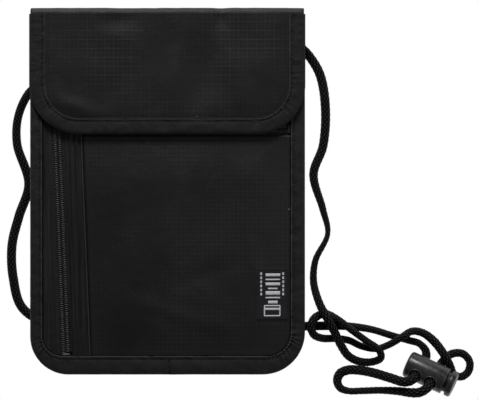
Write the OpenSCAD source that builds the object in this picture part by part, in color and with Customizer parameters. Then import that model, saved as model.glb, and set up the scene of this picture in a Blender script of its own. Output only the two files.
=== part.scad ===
// Flat fabric neck pouch with a fold-over flap, two zip pockets, a braided neck cord and a cord lock.
// It lies on its back: +Z is the face's normal, +Y runs up the pouch, z = 0 is the surface under it.

/* [Pouch] */
// Width across the side bindings
pouch_w = 142.6; // [141:0.2:144]
// Height from the bottom edge to the top fold
pouch_h = 190; // [188:0.5:192]
// Thickness of the back panel cloth
back_t = 0.5; // [0.4:0.1:0.6]
// Thickness of the front panel cloth
front_t = 0.5; // [0.4:0.1:0.5]
// Width of the tape bound round the left edge
bind_left = 6; // [5:0.5:6.5]
// Width of the tape bound round the right edge
bind_right = 7; // [6:0.5:8]
// Width of the tape bound round the bottom edge
bind_bottom = 9.5; // [8:0.5:10]

/* [Flap] */
// Height of the flap's lower edge above the middle of the pouch
flap_edge_y = 29.3; // [28:0.1:31]
// Radius of the flap's lower corners
flap_r = 26; // [20:1:30]
// Width of the tape bound round the flap
flap_bind = 8; // [6:0.5:9]

/* [Zips] */
// Slant of the side zip from the vertical, in degrees
zip_slant = 2.3; // [1.5:0.1:2.5]
// Length of the side zip's coil
side_zip_len = 144; // [138:1:144]
// Length of the top zip's coil
top_zip_len = 104.4; // [98:0.1:104.4]
// Width of one row of coil teeth
coil_w = 1.6; // [1.4:0.1:1.7]
// Length of a zip pull
pull_len = 15; // [12:1:16]

/* [Neck cord] */
// Diameter of the braided cord
cord_d = 4.8; // [4.4:0.1:4.8]

/* [Cord lock] */
// Diameter of the lock's barrel
lock_d = 14; // [13.8:0.1:14.4]
// Diameter of the two cord holes
lock_hole_d = 6.2; // [6:0.1:6.2]
// How far the button goes in
lock_travel = 1.2; // [0.8:0.1:1.2]

/* [Hidden] */
$fn = 64;

fabric = [0.13, 0.13, 0.14];
binding = [0.16, 0.16, 0.17];
plastic = [0.26, 0.26, 0.27];

// Half sizes of the outline, and the radii of its bottom corners.
half_w = pouch_w / 2;
half_h = pouch_h / 2;
corner_left = 20;
corner_right = 22;
corner_small = 2;

// Heights of the layers, from the surface up.
rim_z = 5.6;
divider_z = 6.3;
divider_t = 0.4;
zip_tape_z = 7.9;
zip_tape_t = 0.3;
front_z = 8.3;
front_top = front_z + front_t;
tape_leaf = 0.5;
body_bind_z0 = rim_z - tape_leaf;
body_bind_z1 = front_top + 0.55;
flap_z = 11.1;
flap_t = 0.6;
lining_t = 0.3;
flap_bind_leaf = 0.4;

// The back panel is a shallow tray whose rim leaves room for the cord underneath.
tray_half_w = 54;
tray_y0 = -40;
tray_y1 = 64;
tray_r = 12;
rim_half_w = 63;
rim_y0 = -56;
rim_y1 = 84;
rim_r = 16;

// The flap turns about the middle of the fold at the top edge.
fold_r = (flap_z + flap_t - rim_z) / 2;
hinge_y = half_h - fold_r;
hinge_z = rim_z + fold_r;
body_top = hinge_y - 0.35;
mouth_y = 66;

// The side zip's middle point, and the top zip's left end.
side_zip_x = -55.6;
side_zip_y = -12;
top_zip_x0 = -42;
top_zip_y = 32.5;
coil_gap = 1;
coil_z = 7.6;
coil_h = 1.2;
zip_clear = 3.4;
strip_edge = 13;
stop_len = 2.2;
slider_half_w = 3;
slider_len = 7;
slider_z0 = 7;
slider_z1 = 9.5;
pull_z = 9.65;
pull_t = 0.45;
pull_w = 4.6;
post_d = 1.6;

// The lock lies with its button end raised, and its cord holes lean over to the near side.
lock_at = [124.2, -89, 8.4];
lock_rise = 15;
lock_turn = -24.335;
lock_roll = 35;
lock_len = 26.5;
lock_barrel_len = 21.6;
lock_bore_d = 11;
lock_wall = 1.2;
lock_cap_len = 3.2;
lock_cap_at = lock_len - lock_cap_len;
plunger_d = 10.6;
plunger_at = 3.7;
hole_1 = 6.8;
hole_2 = 15.2;

// The cord's centre line, from the left anchor to the right anchor.
cord_z = 2.4;
cord_route = [
  [-65, 66, 2.4], [-65, 62.4, 2.4], [-66.2, 58, 2.4], [-73.4, 50.6, 2.4], [-78.4, 39, 2.4], [-79, 25, 2.4],
  [-72.8, 4, 2.4], [-78, -13, 2.4], [-81.6, -28, 2.4], [-81, -45, 2.4], [-76, -61, 2.4],
  [-58, -70.5, 2.4], [-22, -72.5, 2.4], [20, -72.5, 2.4], [60, -70.8, 2.4], [80, -70.2, 2.4],
  [94, -70.4, 2.4], [106, -72, 2.4], [118, -75.6, 2.4], [126, -77.8, 2.4], [131.2, -79.4, 2.4],
  [134.6, -83.2, 2.4], [134.6, -86.8, 3.2], [133, -88.8, 4.9], [127, -94.9, 16],
  [125.2, -96.4, 18.5], [121.4, -97.2, 19.2], [114.5, -95.6, 15.6], [106, -93.6, 10.4],
  [99, -92.8, 6.6], [93.6, -93.2, 3.6], [89.8, -95.2, 2.4], [88.4, -98.9, 2.4],
  [90, -102.6, 2.4], [94.2, -104.2, 2.4], [101, -104, 3.6], [110, -103, 8.6],
  [119, -102.6, 14.4], [125, -102.8, 18.6], [129, -102.3, 20.8], [132.6, -100.3, 20.6],
  [134.4, -98.3, 18.2], [140.4, -92.2, 7.1],
  [143.6, -88.4, 3.2], [148.4, -84.8, 2.4], [154, -84.8, 2.4], [157.6, -89, 2.4],
  [156.8, -94.2, 2.4], [153, -96.8, 2.4], [149, -95.2, 3.6], [146.6, -90.6, 7.4],
  [144, -85.6, 8.4], [138.8, -78.2, 5], [133.4, -74, 3], [127.4, -72.8, 4.6],
  [121.4, -75.6, 7.8], [115, -79.8, 5], [108.5, -82.2, 2.4], [101, -80.8, 2.4],
  [94.5, -77.8, 2.4], [87.5, -76.8, 2.4], [80.6, -76.6, 3.2], [75.8, -74.2, 6.6],
  [74.5, -70, 7.9], [76.2, -66, 6.6], [82, -63.8, 3], [88.4, -66.6, 6],
  [95.6, -72, 7.9], [103, -77.4, 7.9], [109.4, -82, 8.8], [110.8, -86.4, 6.2],
  [106.4, -89, 2.8], [100, -88.8, 2.4], [94.4, -86, 3], [90.2, -80.2, 6.8],
  [86.4, -72.4, 7.9], [82.6, -65.4, 8.6], [78.8, -58, 6], [76, -47, 2.4],
  [77, -36, 2.4], [83.4, -22, 2.4], [80.8, -9, 2.4], [76, 9, 2.4], [81, 24, 2.4],
  [82.2, 44, 2.4], [79.4, 61, 2.4], [73.6, 71, 2.4], [67, 78, 2.4], [65, 82.6, 2.4], [65, 86, 2.4]];

// A rectangle from (x0, y0) to (x1, y1) with its own radius at each corner.
module corner_cut(x, y, r, turn) {
  translate([x, y]) rotate(turn) difference() {
    translate([-1, -1]) square(r + 1);
    translate([r, r]) circle(r);
    translate([r, -2]) square(r + 4);
    translate([-2, r]) square(r + 4);
  }
}
module outline(x0, x1, y0, y1, bl, br, tr, tl) {
  difference() {
    translate([x0, y0]) square([x1 - x0, y1 - y0]);
    corner_cut(x0, y0, bl, 0);
    corner_cut(x1, y0, br, 90);
    corner_cut(x1, y1, tr, 180);
    corner_cut(x0, y1, tl, 270);
  }
}
module body_outline(left = 0, right = 0, bottom = 0, top = body_top) {
  outline(-half_w + left, half_w - right, -half_h + bottom, top,
    corner_left - bottom, corner_right - bottom, corner_small, corner_small);
}
module flap_outline(inset = 0, top = body_top) {
  outline(-half_w + inset, half_w - inset, flap_edge_y + inset, top,
    flap_r - inset, flap_r - inset, corner_small, corner_small);
}
module sheet_at(z, t) {
  translate([0, 0, z]) linear_extrude(t) children();
}
// Turns the side zip's own frame, with its length along Y, into the pouch's frame.
module on_side_zip() {
  translate([side_zip_x, side_zip_y, 0]) rotate(zip_slant) children();
}
// Turns a frame with the zip's length along Y into the top zip's, which runs along X.
module on_top_zip() {
  translate([top_zip_x0 + top_zip_len / 2, top_zip_y, 0]) rotate(90) children();
}
module tray_solid(lift) {
  hull() {
    translate([0, 0, lift]) linear_extrude(0.01)
      outline(-tray_half_w, tray_half_w, tray_y0, tray_y1, tray_r, tray_r, tray_r, tray_r, $fn = 32);
    translate([0, 0, rim_z + lift - 0.01]) linear_extrude(0.01)
      outline(-rim_half_w, rim_half_w, rim_y0, rim_y1, rim_r, rim_r, rim_r, rim_r, $fn = 32);
  }
}

module back_panel() {
  color(fabric) {
    difference() {
      tray_solid(0);
      tray_solid(back_t);
    }
    difference() {
      sheet_at(rim_z, back_t) body_outline(1, 1, 1);
      tray_solid(back_t);
    }
  }
}
module shielding_lining() {
  color("dimgray") sheet_at(back_t, 0.3)
    outline(-tray_half_w + 2, tray_half_w - 2, tray_y0 + 2, tray_y1 - 2, 10, 10, 10, 10);
}
module pocket_divider() {
  color(fabric) sheet_at(divider_z, divider_t) body_outline(5, 5, 6, mouth_y);
}
module right_of_strip() {
  on_side_zip() translate([strip_edge + 0.4, -pouch_h]) square([pouch_w * 2, pouch_h * 2]);
}
module front_panel() {
  color(fabric) sheet_at(front_z, front_t) intersection() {
    body_outline(1.5, 1.5, 1.5, top_zip_y - zip_clear);
    right_of_strip();
  }
}
module upper_front_panel() {
  color(fabric) sheet_at(front_z, front_t)
    translate([top_zip_x0 - 2.4, top_zip_y + zip_clear])
      square([half_w - 1.5 - top_zip_x0 + 2.4, mouth_y - top_zip_y - zip_clear]);
}
module mouth_binding() {
  mouth_half = half_w - 7.5;
  color(binding) {
    translate([-mouth_half, mouth_y - 5, front_top + 0.05]) cube([2 * mouth_half, 5.5, 0.5]);
    translate([-mouth_half, mouth_y + 0.05, divider_z])
      cube([2 * mouth_half, 0.45, front_top + 0.1 - divider_z]);
  }
}
module zip_side_strip() {
  color(fabric) on_side_zip() translate([zip_clear, -side_zip_len / 2 - 1, front_z])
    cube([strip_edge - zip_clear, side_zip_len + 2, front_t]);
}
module body_binding() {
  bind_top = hinge_y - 4;
  wall = 0.5;
  color(binding) {
    for (z = [body_bind_z0, body_bind_z1 - tape_leaf]) sheet_at(z, tape_leaf) difference() {
      body_outline(0, 0, 0, bind_top);
      body_outline(bind_left, bind_right, bind_bottom, half_h * 2);
    }
    sheet_at(body_bind_z0, body_bind_z1 - body_bind_z0) difference() {
      body_outline(0, 0, 0, bind_top);
      body_outline(wall, wall, wall, half_h * 2);
    }
  }
}
module woven_label() {
  color("black") sheet_at(front_top, 0.4) translate([45.9, -66.6]) square([16.6, 27]);
}
module loop_patch() {
  color("black") translate([-20, 44, front_top]) cube([40, 12, 0.8]);
}
module hook_patch() {
  color("black") translate([-20, 44, 9.9]) cube([40, 12, flap_z - lining_t - 9.9]);
}

// The parts of a zip, with its length along Y and its middle at the origin.
module zip_tape(side, width, length) {
  translate([side > 0 ? coil_gap / 2 + coil_w : -coil_gap / 2 - coil_w - width, -length / 2, zip_tape_z])
    cube([width, length, zip_tape_t]);
}
module zip_coil(side, length) {
  translate([side > 0 ? coil_gap / 2 : -coil_gap / 2 - coil_w, -length / 2, coil_z])
    cube([coil_w, length, coil_h]);
}
module zip_stop(side, length) {
  translate([-coil_gap / 2 - coil_w, side > 0 ? length / 2 : -length / 2 - stop_len, coil_z - 0.2])
    cube([coil_gap + 2 * coil_w, stop_len, coil_h + 0.2]);
}
module zip_slider() {
  flange = 0.5;
  plate = 0.3;
  cap_plate = 0.4;
  tape_clear = 0.3;
  difference() {
    union() {
      translate([0, 0, slider_z0]) linear_extrude(plate) slider_shape();
      translate([0, 0, slider_z1 - cap_plate]) linear_extrude(cap_plate) slider_shape();
      for (side = [-1, 1]) translate([side * (slider_half_w - flange / 2), 0]) {
        translate([0, 0, (slider_z0 + zip_tape_z - tape_clear) / 2])
          cube([flange, slider_len - 3, zip_tape_z - tape_clear - slider_z0], center = true);
        translate([0, 0, (slider_z1 + zip_tape_z + zip_tape_t + tape_clear) / 2])
          cube([flange, slider_len - 3, slider_z1 - zip_tape_z - zip_tape_t - tape_clear], center = true);
      }
      translate([-0.2, 0.6, slider_z0]) cube([0.4, 2.2, slider_z1 - slider_z0]);
      translate([0, 0, slider_z1 - 0.1]) cylinder(d = post_d, h = pull_z + pull_t + 0.1 - slider_z1 + 0.1);
      translate([0, 0, pull_z + pull_t + 0.1]) cylinder(d = post_d + 1, h = 0.2);
    }
  }
}
module slider_shape() {
  outline(-slider_half_w, slider_half_w, -slider_len / 2, slider_len / 2, 1.5, 1.5, 1, 1);
}
module zip_pull() {
  color(plastic) difference() {
    translate([0, 0, pull_z]) linear_extrude(pull_t)
      outline(-pull_w / 2, pull_w / 2, -pull_len, pull_w / 2, 1.5, 1.5, 2.2, 2.2);
    translate([0, 0, pull_z - 1]) cylinder(d = post_d + 0.5, h = pull_t + 2);
    translate([-pull_w / 2 + 1.2, -pull_len + 2, pull_z - 1]) cube([pull_w - 2.4, 5, pull_t + 2]);
  }
}
// Where the sliders stand when the zips are closed, from the middle of each zip.
side_slider_y = side_zip_len / 2 - 6;
top_slider_y = top_zip_len / 2 - 6;
side_tape_y = side_zip_len + 2;

// The left tape reaches under the side binding, so it follows the pouch's outline.
module side_zip_tape_left() {
  reach = 14;
  color(binding) sheet_at(zip_tape_z, zip_tape_t) intersection() {
    on_side_zip() translate([-coil_gap / 2 - coil_w - reach, -side_tape_y / 2]) square([reach, side_tape_y]);
    body_outline(2, 2, 2);
  }
}
module side_zip_tape_right() { color(binding) on_side_zip() zip_tape(1, 5, side_tape_y); }
module side_zip_coil_left() { color(plastic) on_side_zip() zip_coil(-1, side_zip_len); }
module side_zip_coil_right() { color(plastic) on_side_zip() zip_coil(1, side_zip_len); }
module side_zip_top_stop() { color(plastic) on_side_zip() zip_stop(1, side_zip_len); }
module side_zip_bottom_stop() { color(plastic) on_side_zip() zip_stop(-1, side_zip_len); }
module side_zip_slider() { color(plastic) on_side_zip() translate([0, side_slider_y]) zip_slider(); }
module side_zip_pull() { on_side_zip() translate([0, side_slider_y]) zip_pull(); }
module top_zip_tape_upper() { color(binding) on_top_zip() zip_tape(1, 5, top_zip_len); }
module top_zip_tape_lower() { color(binding) on_top_zip() zip_tape(-1, 5, top_zip_len); }
module top_zip_coil_upper() { color(plastic) on_top_zip() zip_coil(1, top_zip_len); }
module top_zip_coil_lower() { color(plastic) on_top_zip() zip_coil(-1, top_zip_len); }
module top_zip_left_stop() { color(plastic) on_top_zip() zip_stop(1, top_zip_len); }
module top_zip_right_stop() { color(plastic) on_top_zip() zip_stop(-1, top_zip_len); }
module top_zip_slider() { color(plastic) on_top_zip() translate([0, top_slider_y]) zip_slider(); }
module top_zip_pull() { on_top_zip() translate([0, top_slider_y]) zip_pull(); }

// The fold is a half tube of cloth over the hinge line.
module flap_fold() {
  color(fabric) translate([-half_w, hinge_y, hinge_z]) rotate([90, 0, 90]) linear_extrude(pouch_w)
    difference() {
      circle(fold_r);
      circle(fold_r - flap_t);
      translate([-2 * fold_r, -2 * fold_r]) square([2 * fold_r, 4 * fold_r]);
    }
}
module flap_panel() {
  color(fabric) sheet_at(flap_z, flap_t) flap_outline(0.6);
}
module flap_lining() {
  color(fabric) sheet_at(flap_z - lining_t, lining_t) flap_outline(3, hinge_y - 4);
}
module flap_binding() {
  z0 = flap_z - lining_t - flap_bind_leaf;
  z1 = flap_z + flap_t;
  color(binding) {
    for (z = [z0, z1]) sheet_at(z, flap_bind_leaf) difference() {
      flap_outline();
      flap_outline(flap_bind, half_h * 2);
    }
    sheet_at(z0, z1 - z0 + flap_bind_leaf) difference() {
      flap_outline();
      flap_outline(0.5, half_h * 2);
    }
  }
}

// Folded tape tabs under the side bindings that hold the cord's ends.
module cord_anchor(x, y, length) {
  color(binding) translate([x - 2.3, y, 0.2]) cube([5.4, length, body_bind_z0 - 0.25]);
}
module cord_anchor_left() { mirror([1, 0, 0]) cord_anchor(65, 66, 14); }
module cord_anchor_right() { cord_anchor(65, 86, 5); }

// The cord is one tube swept along its route, with a ring at each point.
function unit(v) = v / norm(v);
function tangent(p, i) = unit(p[min(i + 1, len(p) - 1)] - p[max(i - 1, 0)]);
function across(v, t) = unit(v - (v * t) * t);
function side_vectors(p) = [for (i = 0, s = across([0, 0, 1], tangent(p, 0)); i < len(p);
  i = i + 1, s = i < len(p) ? across(s, tangent(p, i)) : s) s];
module tube(p, r, sides) {
  s = side_vectors(p);
  rings = [for (i = [0 : len(p) - 1], k = [0 : sides - 1])
    p[i] + r * (cos(360 * k / sides) * s[i] + sin(360 * k / sides) * cross(tangent(p, i), s[i]))];
  walls = [for (i = [0 : len(p) - 2], k = [0 : sides - 1]) let (a = i * sides, j = (k + 1) % sides)
    [a + k, a + j, a + sides + j, a + sides + k]];
  tris = [for (w = walls) each [[w[0], w[2], w[1]], [w[0], w[3], w[2]]]];
  ends = [[for (k = [0 : sides - 1]) k], [for (k = [sides - 1 : -1 : 0]) (len(p) - 1) * sides + k]];
  polyhedron(rings, concat(tris, ends));
}
module neck_cord() {
  color("gray") tube(cord_route, cord_d / 2, 8);
}

// The lock's frame: its axis is Z from the closed end, and its cord holes run along X.
module on_lock() {
  translate(lock_at) rotate([0, 0, lock_turn]) rotate([0, 90 - lock_rise, 0]) rotate(lock_roll) children();
}
module lock_barrel() {
  color(plastic) on_lock() difference() {
    rotate_extrude() difference() {
      square([lock_d / 2, lock_barrel_len]);
      translate([0, lock_wall]) square([lock_bore_d / 2, lock_barrel_len]);
    }
    for (z = [hole_1, hole_2]) translate([0, 0, z]) rotate([0, 90, 0])
      cylinder(d = lock_hole_d, h = lock_d + 2, center = true);
  }
}
module lock_spring() {
  turns = 2;
  steps = 16;
  wire = 0.7;
  r = 4.4;
  rise = plunger_at - lock_wall - wire;
  color("silver") on_lock() tube([for (i = [0 : turns * steps]) let (a = 360 * i / steps)
    [r * cos(a), r * sin(a), lock_wall + wire / 2 + rise * i / (turns * steps)]], wire / 2 - 0.02, 6);
}
module lock_plunger() {
  slot_front = lock_hole_d / 2 + lock_travel;
  color(plastic) on_lock() difference() {
    union() {
      translate([0, 0, plunger_at]) cylinder(d = plunger_d, h = lock_cap_at - plunger_at + 1);
      translate([0, 0, lock_cap_at]) cylinder(d = lock_d - 0.4, h = lock_cap_len);
    }
    for (z = [hole_1, hole_2])
      translate([-lock_d, -lock_hole_d / 2, max(z - lock_hole_d / 2, plunger_at - 1)])
        cube([2 * lock_d, lock_hole_d, z + slot_front - max(z - lock_hole_d / 2, plunger_at - 1)]);
    translate([-lock_d, -lock_hole_d / 2, plunger_at - 1]) cube([2 * lock_d, lock_hole_d, 2]);
  }
}

back_panel();
shielding_lining();
pocket_divider();
front_panel();
upper_front_panel();
mouth_binding();
zip_side_strip();
body_binding();
woven_label();
loop_patch();
side_zip_tape_left();
side_zip_tape_right();
side_zip_coil_left();
side_zip_coil_right();
side_zip_top_stop();
side_zip_bottom_stop();
side_zip_slider();
side_zip_pull();
top_zip_tape_upper();
top_zip_tape_lower();
top_zip_coil_upper();
top_zip_coil_lower();
top_zip_left_stop();
top_zip_right_stop();
top_zip_slider();
top_zip_pull();
flap_fold();
flap_panel();
flap_lining();
flap_binding();
hook_patch();
cord_anchor_left();
cord_anchor_right();
neck_cord();
lock_barrel();
lock_spring();
lock_plunger();
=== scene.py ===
"""Looks of a flat fabric neck pouch with a fold-over flap, a braided neck cord and a cord lock.

Lengths are in millimetres until a mesh is made, and MM turns them into metres.
"""
import math

import bpy
import numpy as np
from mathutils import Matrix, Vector, noise


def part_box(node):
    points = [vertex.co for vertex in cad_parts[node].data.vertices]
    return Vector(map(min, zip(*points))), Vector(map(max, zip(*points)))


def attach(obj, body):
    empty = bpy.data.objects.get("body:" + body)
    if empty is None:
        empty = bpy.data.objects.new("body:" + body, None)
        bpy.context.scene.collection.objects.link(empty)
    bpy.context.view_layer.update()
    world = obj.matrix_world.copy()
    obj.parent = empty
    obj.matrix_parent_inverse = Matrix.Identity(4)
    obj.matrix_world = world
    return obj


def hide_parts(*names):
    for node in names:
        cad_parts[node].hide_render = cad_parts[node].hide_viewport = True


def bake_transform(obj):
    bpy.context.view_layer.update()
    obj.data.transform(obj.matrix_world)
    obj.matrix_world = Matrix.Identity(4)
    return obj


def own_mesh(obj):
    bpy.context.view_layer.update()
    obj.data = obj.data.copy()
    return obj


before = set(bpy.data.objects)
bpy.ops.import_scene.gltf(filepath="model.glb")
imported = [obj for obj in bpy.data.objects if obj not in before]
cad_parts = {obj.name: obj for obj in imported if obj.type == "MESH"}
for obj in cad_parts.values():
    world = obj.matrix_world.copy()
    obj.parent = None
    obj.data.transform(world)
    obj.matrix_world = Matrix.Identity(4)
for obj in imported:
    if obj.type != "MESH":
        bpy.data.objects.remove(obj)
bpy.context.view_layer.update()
MM = 0.001


def node_box(node):
    """A CAD node's lowest and highest corners, in millimetres."""
    low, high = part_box(node)
    return np.array(low) / MM, np.array(high) / MM


# ---------------------------------------------------------------- camera and cord
VIEW_CENTRE = (37.3, -4.4, 8)
LENS = 100
VIEW_DISTANCE = 690

camera = bpy.data.objects.new("camera", bpy.data.cameras.new("camera"))
camera.data.lens = LENS
camera.data.clip_end = 10
camera.location = (VIEW_CENTRE[0] * MM, VIEW_CENTRE[1] * MM, (VIEW_CENTRE[2] + VIEW_DISTANCE) * MM)
bpy.context.collection.objects.link(camera)
bpy.context.scene.camera = camera

CORD_D = 4.8
CORD_ROUTE = [
    (-65, 66, 2.4), (-65, 62.4, 2.4), (-66.2, 58, 2.4), (-73.4, 50.6, 2.4), (-78.4, 39, 2.4),
    (-79, 25, 2.4),
    (-72.8, 4, 2.4), (-78, -13, 2.4), (-81.6, -28, 2.4), (-81, -45, 2.4), (-76, -61, 2.4),
    (-58, -70.5, 2.4), (-22, -72.5, 2.4), (20, -72.5, 2.4), (60, -70.8, 2.4), (80, -70.2, 2.4),
    (94, -70.4, 2.4), (106, -72, 2.4), (118, -75.6, 2.4), (126, -77.8, 2.4), (131.2, -79.4, 2.4),
    (134.6, -83.2, 2.4), (134.6, -86.8, 3.2), (133, -88.8, 4.9), (127, -94.9, 16),
    (125.2, -96.4, 18.5), (121.4, -97.2, 19.2), (114.5, -95.6, 15.6), (106, -93.6, 10.4),
    (99, -92.8, 6.6), (93.6, -93.2, 3.6), (89.8, -95.2, 2.4), (88.4, -98.9, 2.4),
    (90, -102.6, 2.4), (94.2, -104.2, 2.4), (101, -104, 3.6), (110, -103, 8.6),
    (119, -102.6, 14.4), (125, -102.8, 18.6), (129, -102.3, 20.8), (132.6, -100.3, 20.6),
    (134.4, -98.3, 18.2), (140.4, -92.2, 7.1),
    (143.6, -88.4, 3.2), (148.4, -84.8, 2.4), (154, -84.8, 2.4), (157.6, -89, 2.4),
    (156.8, -94.2, 2.4), (153, -96.8, 2.4), (149, -95.2, 3.6), (146.6, -90.6, 7.4),
    (144, -85.6, 8.4), (138.8, -78.2, 5), (133.4, -74, 3), (127.4, -72.8, 4.6),
    (121.4, -75.6, 7.8), (115, -79.8, 5), (108.5, -82.2, 2.4), (101, -80.8, 2.4),
    (94.5, -77.8, 2.4), (87.5, -76.8, 2.4), (80.6, -76.6, 3.2), (75.8, -74.2, 6.6),
    (74.5, -70, 7.9), (76.2, -66, 6.6), (82, -63.8, 3), (88.4, -66.6, 6),
    (95.6, -72, 7.9), (103, -77.4, 7.9), (109.4, -82, 8.8), (110.8, -86.4, 6.2),
    (106.4, -89, 2.8), (100, -88.8, 2.4), (94.4, -86, 3), (90.2, -80.2, 6.8),
    (86.4, -72.4, 7.9), (82.6, -65.4, 8.6), (78.8, -58, 6), (76, -47, 2.4),
    (77, -36, 2.4), (83.4, -22, 2.4), (80.8, -9, 2.4), (76, 9, 2.4), (81, 24, 2.4),
    (82.2, 44, 2.4), (79.4, 61, 2.4), (73.6, 71, 2.4), (67, 78, 2.4), (65, 82.6, 2.4), (65, 86, 2.4)]

# The hollow braid flattens as it turns: a route point's number, and the share of its width there.
CORD_WIDTHS = [
    (0, 0.95), (4, 0.88), (6, 1), (15, 0.95), (17, 0.76), (20, 0.78), (22, 1), (31, 1),
    (34, 0.72), (36, 0.74), (38, 1), (43, 0.9), (46, 0.82), (49, 0.86), (52, 0.95), (54, 0.8),
    (57, 0.7), (60, 0.8), (64, 0.9), (67, 0.74), (69, 0.76), (72, 0.88), (76, 0.94), (78, 0.8),
    (79, 0.7), (80, 0.56), (81, 0.76), (82, 0.94), (84, 1), (89, 1)]


def along_of(line):
    """The distance of each point from the line's start, along the line."""
    return np.r_[0, np.cumsum(np.linalg.norm(np.diff(line, axis=0), axis=1))]


def smooth_line(points, step):
    """A centripetal Catmull-Rom curve through the points, with a point every step."""
    p = np.array(points, float)
    q = np.vstack([2 * p[0] - p[1], p, 2 * p[-1] - p[-2]])
    line = []
    for p0, p1, p2, p3 in zip(q, q[1:], q[2:], q[3:]):
        t1 = np.linalg.norm(p1 - p0) ** 0.5
        t2 = t1 + np.linalg.norm(p2 - p1) ** 0.5
        t3 = t2 + np.linalg.norm(p3 - p2) ** 0.5
        s = np.linspace(t1, t2, 24, endpoint=False)[:, None]
        a1 = (t1 - s) / t1 * p0 + s / t1 * p1
        a2 = (t2 - s) / (t2 - t1) * p1 + (s - t1) / (t2 - t1) * p2
        a3 = (t3 - s) / (t3 - t2) * p2 + (s - t2) / (t3 - t2) * p3
        b1 = (t2 - s) / t2 * a1 + s / t2 * a2
        b2 = (t3 - s) / (t3 - t1) * a2 + (s - t1) / (t3 - t1) * a3
        line.append((t2 - s) / (t2 - t1) * b1 + (s - t1) / (t2 - t1) * b2)
    return resample(np.vstack([*line, p[-1:]]), step)


def resample(line, step):
    """The same line with evenly spaced points."""
    along = along_of(line)
    s = np.linspace(0, along[-1], int(along[-1] / step) + 1)
    return np.column_stack([np.interp(s, along, line[:, k]) for k in range(3)])


def frames_along(line):
    """The tangent, side and up vectors at each point, turning as little as they can."""
    t = np.gradient(line, axis=0)
    t /= np.linalg.norm(t, axis=1)[:, None]
    side = np.zeros_like(t)
    now = np.cross(t[0], (0, 0, 1.0)) if abs(t[0][2]) < 0.9 else np.array((1.0, 0, 0))
    for i, tangent in enumerate(t):
        now = now - (now @ tangent) * tangent
        now /= np.linalg.norm(now)
        side[i] = now
    return t, side, np.cross(t, side)


def make_mesh(name, verts, faces, material, body=None, slot=None, node=None):
    """A smooth-shaded mesh piece from points in millimetres, standing for a CAD node if one is given."""
    data = bpy.data.meshes.new(name)
    data.from_pydata((np.asarray(verts, float) * MM).tolist(), [], [list(map(int, f)) for f in faces])
    data.validate()
    data.update()
    data.polygons.foreach_set("use_smooth", [True] * len(data.polygons))
    data.materials.append(material)
    piece = bpy.data.objects.new(name, data)
    bpy.context.collection.objects.link(piece)
    if body:
        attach(piece, body)
    if node:
        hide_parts(node)
    return piece


def strip_faces(rows, cols, closed):
    """Quads of a grid of points, row by row, closed round each row or open."""
    r = np.arange(rows - 1)[:, None]
    c = np.arange(cols if closed else cols - 1)[None, :]
    a, b = r * cols + c, r * cols + (c + 1) % cols
    return np.stack([a, b, b + cols, a + cols], -1).reshape(-1, 4)


def solid_faces(rows, cols):
    """Faces of a solid made of rings of points, closed at both ends."""
    first, last = list(range(cols)), list(range((rows - 1) * cols, rows * cols))
    return strip_faces(rows, cols, True).tolist() + [first[::-1], last]


def turns(sides):
    """Evenly spaced angles round a circle."""
    return np.arange(sides) * 2 * math.pi / sides


def tube(line, radius, sides=10):
    """Points and faces of a capped tube; radius is a number or an array of rings by sides."""
    t, side, up = frames_along(line)
    turn = turns(sides)
    r = np.broadcast_to(np.asarray(radius, float), (len(line), sides))[..., None]
    ring = side[:, None] * np.cos(turn)[None, :, None] + up[:, None] * np.sin(turn)[None, :, None]
    return (line[:, None] + r * ring).reshape(-1, 3), solid_faces(len(line), sides)


def joined(parts):
    """One list of points and faces from several."""
    verts, faces, start = [], [], 0
    for points, polys in parts:
        verts.append(points)
        faces += [[start + i for i in f] for f in polys]
        start += len(points)
    return np.vstack(verts), faces


# ---------------------------------------------------------------- materials
def grey(level, blue=0.0):
    """A grey, with a little more blue if asked."""
    return (level, level, level + blue)


def new_material(name, color, roughness, sheen=0.0, specular=0.4, metallic=0.0):
    material = bpy.data.materials.new(name)
    material.use_nodes = True
    shader = material.node_tree.nodes["Principled BSDF"]
    shader.inputs["Base Color"].default_value = (*color, 1)
    shader.inputs["Roughness"].default_value = roughness
    shader.inputs["Specular IOR Level"].default_value = specular
    shader.inputs["Metallic"].default_value = metallic
    if sheen:
        shader.inputs["Sheen Weight"].default_value = sheen
        shader.inputs["Sheen Roughness"].default_value = 0.45
    return material, material.node_tree, shader


def add_node(tree, kind, inputs=None, **settings):
    item = tree.nodes.new(kind)
    for key, value in settings.items():
        setattr(item, key, value)
    for key, value in (inputs or {}).items():
        if isinstance(value, bpy.types.NodeSocket):
            tree.links.new(value, item.inputs[key])
        else:
            item.inputs[key].default_value = value
    return item


def maths(tree, operation, *values):
    """The output of a maths node."""
    return add_node(tree, "ShaderNodeMath", dict(enumerate(values)), operation=operation).outputs[0]


def times(tree, *values):
    return maths(tree, "MULTIPLY", *values)


def plus(tree, *values):
    return maths(tree, "ADD", *values)


def position(tree):
    """The point's coordinates, apart and together, in metres."""
    place = add_node(tree, "ShaderNodeTexCoord").outputs["Object"]
    return add_node(tree, "ShaderNodeSeparateXYZ", {0: place}).outputs, place


def ridges(tree, value, pitch, width):
    """1 on a thin line every pitch millimetres along value, and 0 between."""
    cycle = maths(tree, "FRACT", times(tree, value, 1 / (pitch * MM)))
    off = maths(tree, "ABSOLUTE", maths(tree, "SUBTRACT", cycle, 0.5))
    ramp = add_node(tree, "ShaderNodeMapRange", {0: off, 1: 0.5 - width, 2: 0.5})
    ramp.interpolation_type = "SMOOTHSTEP"
    return ramp.outputs[0]


def noise_at(tree, place, size, detail=2.0):
    return add_node(tree, "ShaderNodeTexNoise",
                    {"Vector": place, "Scale": 1 / (size * MM), "Detail": detail}).outputs["Fac"]


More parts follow.
